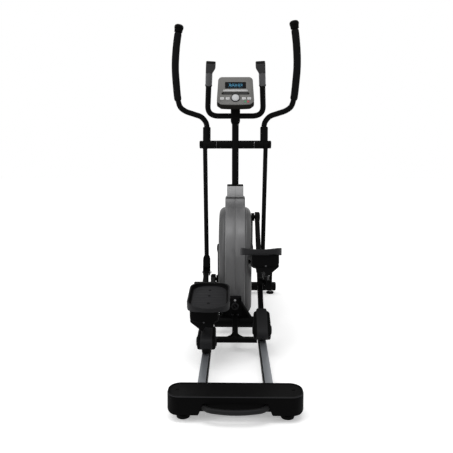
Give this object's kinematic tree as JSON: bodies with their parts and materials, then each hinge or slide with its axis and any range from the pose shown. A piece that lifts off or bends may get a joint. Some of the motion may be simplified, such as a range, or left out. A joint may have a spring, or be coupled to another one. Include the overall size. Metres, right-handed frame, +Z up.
{
  "type": "elliptical trainer",
  "caption": "Front-drive elliptical trainer: rear roller rails, pedals on crank-driven arms, swinging foam handles, fixed grips and a console on a mast.",
  "frame": {"origin": "on the floor, under the middle of the overall length and width", "axes": "+Z up, +Y from the user towards the drive casing, +X to the user's right"},
  "size_m": [0.754, 1.81, 1.7227],
  "materials": {
    "satin_black_paint": "satin",
    "black_plastic": "satin",
    "charcoal_plastic": "satin",
    "grey_casing": "metallic satin",
    "collar_grey": "satin",
    "rail_aluminium": "brushed",
    "bright_steel": "turned",
    "flywheel_iron": "machined",
    "black_rubber": "matt",
    "foam": "matt foam",
    "console_grey": "satin",
    "display_pane": "gloss",
    "dial_silver": "gloss",
    "key_white": "satin",
    "rocker_green": "satin"
  },
  "bodies": {
    "base": {"main_frame": "satin_black_paint", "mast": "satin_black_paint", "front_stabiliser": "satin_black_paint", "rear_stabiliser": "satin_black_paint", "rear_cover": "black_plastic", "lift_handle": "satin_black_paint", "rail_left": "rail_aluminium", "rail_right": "rail_aluminium", "rail_yoke": "satin_black_paint", "casing_left": "grey_casing", "casing_right": "grey_casing", "mast_collar": "collar_grey", "swing_axle": "satin_black_paint", "handlebar": "satin_black_paint", "pulse_grip_left": "charcoal_plastic", "pulse_grip_right": "charcoal_plastic", "mast_head": "black_plastic", "console": "console_grey", "display_window": "display_pane", "drive_belt": "black_rubber"},
    "roller_carrier_right": {"roller_axle_right": "bright_steel"},
    "roller_wheel_right": {"roller_wheel_right": "black_rubber"},
    "connecting_arm_right": {"connecting_arm_right": "satin_black_paint", "roller_cover_right": "charcoal_plastic"},
    "pedal_arm_right": {"pedal_arm_right": "satin_black_paint", "pedal_right": "charcoal_plastic"},
    "swing_arm_right": {"swing_arm_right": "satin_black_paint", "swing_handle_right": "satin_black_paint", "foam_grip_right": "foam", "handle_cap_right": "black_plastic"},
    "roller_carrier_left": {"roller_axle_left": "bright_steel"},
    "roller_wheel_left": {"roller_wheel_left": "black_rubber"},
    "connecting_arm_left": {"connecting_arm_left": "satin_black_paint", "roller_cover_left": "charcoal_plastic"},
    "pedal_arm_left": {"pedal_arm_left": "satin_black_paint", "pedal_left": "charcoal_plastic"},
    "swing_arm_left": {"swing_arm_left": "satin_black_paint", "swing_handle_left": "satin_black_paint", "foam_grip_left": "foam", "handle_cap_left": "black_plastic"},
    "crank": {"crank_axle": "bright_steel", "crank_arm_left": "satin_black_paint", "crank_arm_right": "satin_black_paint", "drive_pulley": "black_plastic"},
    "flywheel": {"flywheel": "flywheel_iron"},
    "brake": {"brake_yoke": "rail_aluminium"},
    "lock_knob": {"lock_knob": "black_plastic"},
    "foot_front_left": {"foot_front_left": "black_rubber"},
    "foot_rear_left": {"foot_rear_left": "black_rubber"},
    "transport_wheel_left": {"transport_wheel_left": "black_rubber"},
    "foot_front_right": {"foot_front_right": "black_rubber"},
    "foot_rear_right": {"foot_rear_right": "black_rubber"},
    "transport_wheel_right": {"transport_wheel_right": "black_rubber"},
    "dial": {"dial": "dial_silver"},
    "button_1": {"button_1": "key_white"},
    "button_2": {"button_2": "key_white"},
    "button_3": {"button_3": "key_white"},
    "button_4": {"button_4": "key_white"},
    "start_stop_rocker": {"start_stop_rocker": "rocker_green"}
  },
  "joints": [
    {"name": "right_roller_slide", "type": "slide", "parent": "base", "child": "roller_carrier_right", "axis": [0, 1, 0], "range_m": [-0.2269, 0]},
    {"name": "right_roller_spin", "type": "hinge", "parent": "roller_carrier_right", "child": "roller_wheel_right", "pos_m": [0.13, -0.25493, 0.1183], "axis": [1, 0, 0], "continuous": true},
    {"name": "right_arm_tilt", "type": "hinge", "parent": "roller_carrier_right", "child": "connecting_arm_right", "pos_m": [0.13, -0.25493, 0.1183], "axis": [1, 0, 0], "range_deg": [-8.24, 0]},
    {"name": "right_pedal_pivot", "type": "hinge", "parent": "connecting_arm_right", "child": "pedal_arm_right", "pos_m": [0.168, -0.04157, 0.3167], "axis": [1, 0, 0], "range_deg": [0, 17.65]},
    {"name": "right_swing_pivot", "type": "hinge", "parent": "base", "child": "swing_arm_right", "pos_m": [0.153, 0.45, 1.026], "axis": [1, 0, 0], "range_deg": [-15.35, 0]},
    {"name": "left_roller_slide", "type": "slide", "parent": "base", "child": "roller_carrier_left", "axis": [0, 1, 0], "range_m": [0, 0.1829]},
    {"name": "left_roller_spin", "type": "hinge", "parent": "roller_carrier_left", "child": "roller_wheel_left", "pos_m": [-0.13, -0.41145, 0.1183], "axis": [1, 0, 0], "continuous": true},
    {"name": "left_arm_tilt", "type": "hinge", "parent": "roller_carrier_left", "child": "connecting_arm_left", "pos_m": [-0.13, -0.41145, 0.1183], "axis": [1, 0, 0], "range_deg": [0, 7.01]},
    {"name": "left_pedal_pivot", "type": "hinge", "parent": "connecting_arm_left", "child": "pedal_arm_left", "pos_m": [-0.168, -0.12744, 0.18326], "axis": [1, 0, 0], "range_deg": [-13.17, 0]},
    {"name": "left_swing_pivot", "type": "hinge", "parent": "base", "child": "swing_arm_left", "pos_m": [-0.153, 0.45, 1.026], "axis": [1, 0, 0], "range_deg": [0, 13.7]},
    {"name": "crank_spin", "type": "hinge", "parent": "base", "child": "crank", "pos_m": [0, 0.375, 0.41], "axis": [1, 0, 0], "continuous": true},
    {"name": "flywheel_spin", "type": "hinge", "parent": "base", "child": "flywheel", "pos_m": [0, 0.65, 0.33], "axis": [1, 0, 0], "continuous": true},
    {"name": "brake_pivot", "type": "hinge", "parent": "base", "child": "brake", "pos_m": [-0.045, 0.56, 0.48], "axis": [1, 0, 0], "range_deg": [0, 10]},
    {"name": "lock_knob_turn", "type": "hinge", "parent": "base", "child": "lock_knob", "pos_m": [0, 0.02, 0.163], "axis": [0, -1, 0], "continuous": true},
    {"name": "foot_front_left_turn", "type": "hinge", "parent": "base", "child": "foot_front_left", "pos_m": [-0.246, 0.823, 0.01], "axis": [0, 0, 1], "continuous": true},
    {"name": "foot_rear_left_turn", "type": "hinge", "parent": "base", "child": "foot_rear_left", "pos_m": [-0.197, -0.82, 0.01], "axis": [0, 0, 1], "continuous": true},
    {"name": "transport_wheel_left_spin", "type": "hinge", "parent": "base", "child": "transport_wheel_left", "pos_m": [-0.19, 0.879, 0.032], "axis": [1, 0, 0], "continuous": true},
    {"name": "foot_front_right_turn", "type": "hinge", "parent": "base", "child": "foot_front_right", "pos_m": [0.246, 0.823, 0.01], "axis": [0, 0, 1], "continuous": true},
    {"name": "foot_rear_right_turn", "type": "hinge", "parent": "base", "child": "foot_rear_right", "pos_m": [0.197, -0.82, 0.01], "axis": [0, 0, 1], "continuous": true},
    {"name": "transport_wheel_right_spin", "type": "hinge", "parent": "base", "child": "transport_wheel_right", "pos_m": [0.19, 0.879, 0.032], "axis": [1, 0, 0], "continuous": true},
    {"name": "dial_turn", "type": "hinge", "parent": "base", "child": "dial", "pos_m": [0, 0.34316, 1.287], "axis": [0, -0.8572, 0.515], "continuous": true},
    {"name": "button_1_press", "type": "slide", "parent": "base", "child": "button_1", "axis": [0, 0.8572, -0.515], "range_m": [0, 0.0015], "stiffness_N_per_m": 400, "springref_m": -0.002},
    {"name": "button_2_press", "type": "slide", "parent": "base", "child": "button_2", "axis": [0, 0.8572, -0.515], "range_m": [0, 0.0015], "stiffness_N_per_m": 400, "springref_m": -0.002},
    {"name": "button_3_press", "type": "slide", "parent": "base", "child": "button_3", "axis": [0, 0.8572, -0.515], "range_m": [0, 0.0015], "stiffness_N_per_m": 400, "springref_m": -0.002},
    {"name": "button_4_press", "type": "slide", "parent": "base", "child": "button_4", "axis": [0, 0.8572, -0.515], "range_m": [0, 0.0015], "stiffness_N_per_m": 400, "springref_m": -0.002},
    {"name": "rocker_tip", "type": "hinge", "parent": "base", "child": "start_stop_rocker", "pos_m": [0.064, 0.33028, 1.26557], "axis": [0, 0.515, 0.8572], "range_deg": [-4, 4], "stiffness_Nm_per_rad": 0.5}
  ],
  "couplings": [
    {"joint": "right_roller_spin", "follows": "right_roller_slide", "rad_per_m": -26.316},
    {"joint": "right_arm_tilt", "follows": "right_roller_slide", "rad_per_m": 0.6321},
    {"joint": "right_pedal_pivot", "follows": "right_roller_slide", "rad_per_m": -1.3563},
    {"joint": "right_swing_pivot", "follows": "right_roller_slide", "rad_per_m": 1.179},
    {"joint": "left_roller_slide", "follows": "right_roller_slide", "ratio": -0.80542},
    {"joint": "left_roller_spin", "follows": "right_roller_slide", "rad_per_m": 21.195},
    {"joint": "left_arm_tilt", "follows": "right_roller_slide", "rad_per_m": -0.53786},
    {"joint": "left_pedal_pivot", "follows": "right_roller_slide", "rad_per_m": 1.0113},
    {"joint": "left_swing_pivot", "follows": "right_roller_slide", "rad_per_m": -1.0524},
    {"joint": "crank_spin", "follows": "right_roller_slide", "rad_per_m": -4.6145},
    {"joint": "flywheel_spin", "follows": "right_roller_slide", "rad_per_m": -31.462}
  ]
}
